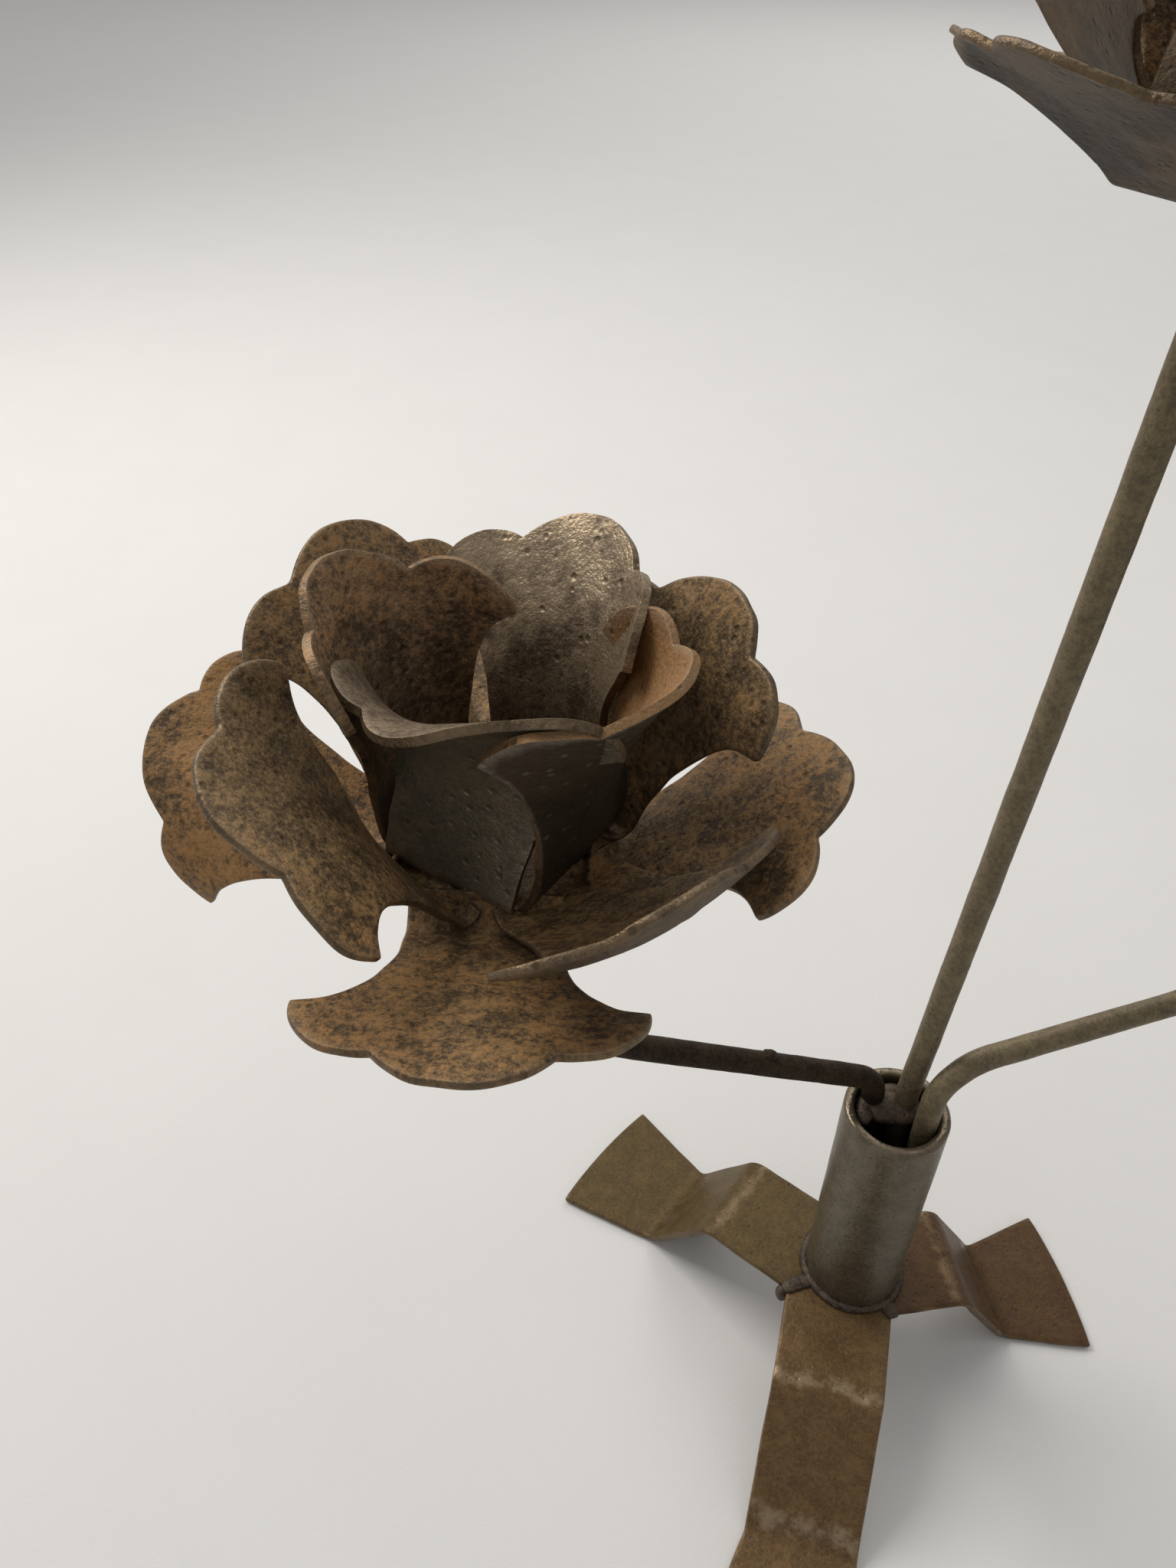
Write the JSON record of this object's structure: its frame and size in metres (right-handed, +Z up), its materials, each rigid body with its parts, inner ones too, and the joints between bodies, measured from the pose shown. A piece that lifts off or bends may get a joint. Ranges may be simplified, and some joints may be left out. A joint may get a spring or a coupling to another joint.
{
  "type": "candle holder",
  "caption": "Wrought candle holder: sheet-metal rose cups on bent round bars, held in a short pipe on splayed flat-bar legs.",
  "frame": {"origin": "on the pipe's axis, at the level that the feet stand on", "axes": "+Z up along the pipe; +Y away from the front leg, so that -Y is the side the picture is taken from; +X towards the right-hand bar"},
  "size_m": [0.2983, 0.1807, 0.366],
  "materials": {
    "petal_sheet": "dark brown rust with orange speckle, hammered sheet, lighter worn edges",
    "cup_sheet": "blue-black scale outside, worn grey-brown inside, orange rust in places",
    "round_bar": "olive brown oxidised round bar",
    "pipe": "olive-grey bare steel pipe with a browned rim",
    "flat_bar": "reddish brown, slightly polished on the bends",
    "weld": "dark lumpy weld"
  },
  "bodies": {
    "root": {"leg_front": "flat_bar", "leg_left": "flat_bar", "leg_right": "flat_bar", "leg_welds": "weld", "socket_pipe": "pipe", "pipe_base_weld": "weld", "stem_left": "round_bar", "stem_tall": "round_bar", "stem_right": "round_bar", "mouth_weld": "weld", "left_outer_petals": "petal_sheet", "left_middle_petals": "petal_sheet", "left_cup_petals": "cup_sheet", "left_rose_weld": "weld", "tall_outer_petals": "petal_sheet", "tall_middle_petals": "petal_sheet", "tall_cup_petals": "cup_sheet", "tall_rose_weld": "weld", "right_outer_petals": "petal_sheet", "right_middle_petals": "petal_sheet", "right_cup_petals": "cup_sheet", "right_rose_weld": "weld"}
  },
  "joints": []
}
